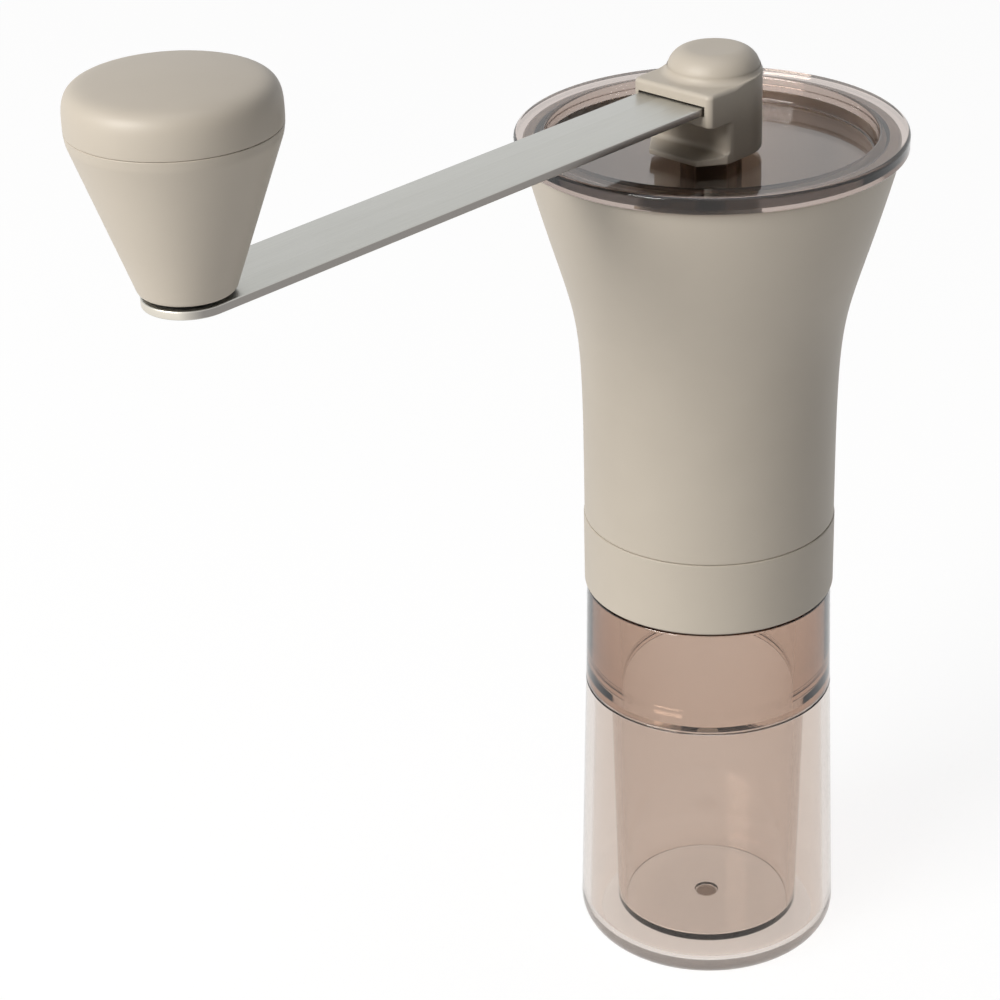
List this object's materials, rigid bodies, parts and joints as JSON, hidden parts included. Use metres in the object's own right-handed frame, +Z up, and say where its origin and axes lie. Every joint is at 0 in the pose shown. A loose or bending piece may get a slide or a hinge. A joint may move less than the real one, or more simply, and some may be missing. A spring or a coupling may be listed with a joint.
{
  "type": "hand crank coffee grinder",
  "caption": "Slim hand crank coffee grinder: flared bean hopper with clear dished lid, ceramic cone burr, double-walled grounds cup, flat steel crank arm and cone knob.",
  "frame": {"origin": "centre of the flat base of the grounds cup, on the grinder's axis", "axes": "+Z up along the grinder's axis; the crank arm points along -X at rest"},
  "size_m": [0.189, 0.0764, 0.2272],
  "materials": {
    "greige_abs": "fine satin moulded ABS",
    "smoke_acrylic": "polished, tinted, transparent",
    "clear_acrylic": "polished, clear",
    "brushed_stainless": "brushed along its length",
    "turned_steel": "turned",
    "burr_ceramic": "fine matt technical ceramic",
    "black_acetal": "satin acetal",
    "grey_silicone": "matt silicone rubber"
  },
  "bodies": {
    "cup": {"outer_cup": "clear_acrylic", "inner_cup": "smoke_acrylic"},
    "seal": {"cup_seal": "grey_silicone"},
    "mill": {"burr_housing": "greige_abs", "outer_burr": "burr_ceramic", "burr_retainer": "black_acetal", "retainer_screw_1": "turned_steel", "retainer_screw_2": "turned_steel", "retainer_screw_3": "turned_steel", "hopper_body": "greige_abs", "lower_bush": "black_acetal", "upper_bush": "black_acetal"},
    "shaft": {"drive_shaft": "turned_steel", "shaft_clip": "turned_steel", "thrust_washer": "turned_steel", "spring": "turned_steel"},
    "burr": {"spring_washer": "turned_steel", "inner_burr": "burr_ceramic", "burr_carrier": "black_acetal", "click_plate": "turned_steel"},
    "nut": {"adjust_nut": "black_acetal"},
    "lid": {"lid": "smoke_acrylic"},
    "crank": {"crank_arm": "brushed_stainless", "crank_hub": "greige_abs", "knob_axle": "turned_steel", "knob_washer": "black_acetal", "knob_clip": "turned_steel"},
    "knob": {"knob_body": "greige_abs", "knob_cap": "greige_abs"}
  },
  "joints": [
    {"name": "mill_rise", "type": "slide", "parent": "cup", "child": "seal", "axis": [0, 0, 1], "range_m": [0, 0.0121]},
    {"name": "mill_unscrew", "type": "hinge", "parent": "seal", "child": "mill", "pos_m": [0, 0, 0.0834], "axis": [0, 0, 1], "range_deg": [0, 720]},
    {"name": "crank_spin", "type": "hinge", "parent": "mill", "child": "shaft", "pos_m": [0, 0, 0.11], "axis": [0, 0, 1], "continuous": true},
    {"name": "burr_set", "type": "slide", "parent": "shaft", "child": "burr", "axis": [0, 0, -1], "range_m": [0, 0.0012], "deforming": ["spring"]},
    {"name": "nut_turn", "type": "hinge", "parent": "burr", "child": "nut", "pos_m": [0, 0, 0.079], "axis": [0, 0, -1], "range_deg": [0, 541]},
    {"name": "lid_lift", "type": "slide", "parent": "mill", "child": "lid", "axis": [0, 0, 1], "range_m": [0, 0.03]},
    {"name": "crank_lift", "type": "slide", "parent": "shaft", "child": "crank", "axis": [0, 0, 1], "range_m": [0, 0.0451]},
    {"name": "knob_spin", "type": "hinge", "parent": "crank", "child": "knob", "pos_m": [-0.1333, 0, 0.2], "axis": [0, 0, 1], "continuous": true}
  ],
  "couplings": [
    {"joint": "mill_rise", "follows": "mill_unscrew", "m_per_rad": 0.00095493},
    {"joint": "nut_turn", "follows": "burr_set", "rad_per_m": 7854},
    {"joint": "crank_lift", "follows": "lid_lift", "ratio": 1.5}
  ]
}
